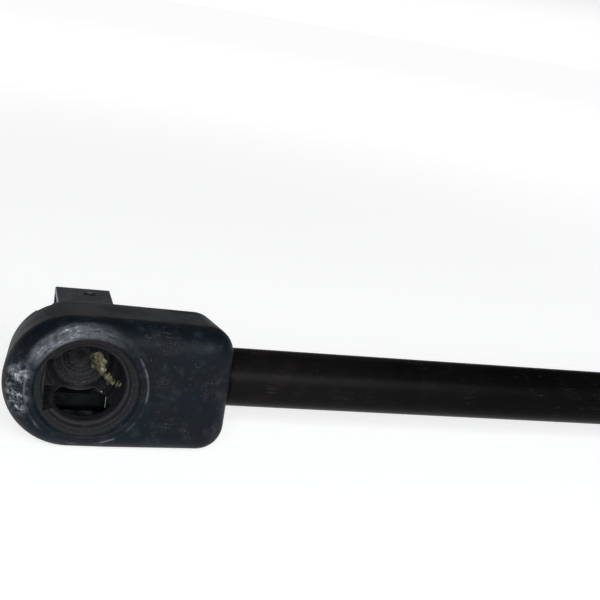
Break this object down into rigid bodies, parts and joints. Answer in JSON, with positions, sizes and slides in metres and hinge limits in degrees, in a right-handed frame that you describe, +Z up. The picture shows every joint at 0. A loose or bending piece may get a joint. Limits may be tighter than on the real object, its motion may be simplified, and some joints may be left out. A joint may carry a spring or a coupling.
{
  "type": "gas strut stay",
  "caption": "Gas spring stay with a black rod, a black tube, and a plastic ball socket with a pull-out steel safety clip at each end.",
  "frame": {"origin": "ball centre of the socket on the tube's end", "axes": "+X along the strut from the rod end to the tube end, -Y out of both ball sockets, +Z up"},
  "size_m": [0.4406, 0.0225, 0.018],
  "materials": {
    "housing_plastic": "satin moulded, dusty",
    "spring_steel": "blued spring strip, scratched",
    "black_rod": "black nitrided, smooth",
    "tube_paint": "black satin paint",
    "plain_steel": "zinc plated",
    "piston_metal": "cast",
    "guide_metal": "turned",
    "liner": "filled PTFE",
    "ring_plastic": "natural",
    "rubber": "matt"
  },
  "bodies": {
    "cylinder": {"pressure_tube": "tube_paint", "base_plug": "plain_steel", "base_o_ring": "rubber", "guide_bush": "guide_metal", "guide_liner": "liner", "guide_o_ring": "rubber", "rod_seal": "rubber", "seal_support_ring": "ring_plastic", "wiper_ring": "rubber", "tube_socket_housing": "housing_plastic"},
    "piston_seal": {"piston_ring": "ring_plastic"},
    "rod": {"piston_rod": "black_rod", "stop_washer": "plain_steel", "piston": "piston_metal", "valve_disc": "plain_steel", "rivet_washer": "plain_steel", "rod_socket_housing": "housing_plastic"},
    "rod_clip": {"rod_socket_clip": "spring_steel"},
    "tube_clip": {"tube_socket_clip": "spring_steel"}
  },
  "joints": [
    {"name": "rod_slide", "type": "slide", "parent": "cylinder", "child": "piston_seal", "axis": [1, 0, 0], "range_m": [0, 0.16], "stiffness_N_per_m": 220, "springref_m": -0.455},
    {"name": "rod_spin", "type": "hinge", "parent": "piston_seal", "child": "rod", "pos_m": [-0.42, 0, 0], "axis": [1, 0, 0], "continuous": true},
    {"name": "rod_clip_slide", "type": "slide", "parent": "rod", "child": "rod_clip", "axis": [0, -1, 0], "range_m": [0, 0.006]},
    {"name": "tube_clip_slide", "type": "slide", "parent": "cylinder", "child": "tube_clip", "axis": [0, -1, 0], "range_m": [0, 0.006]}
  ]
}
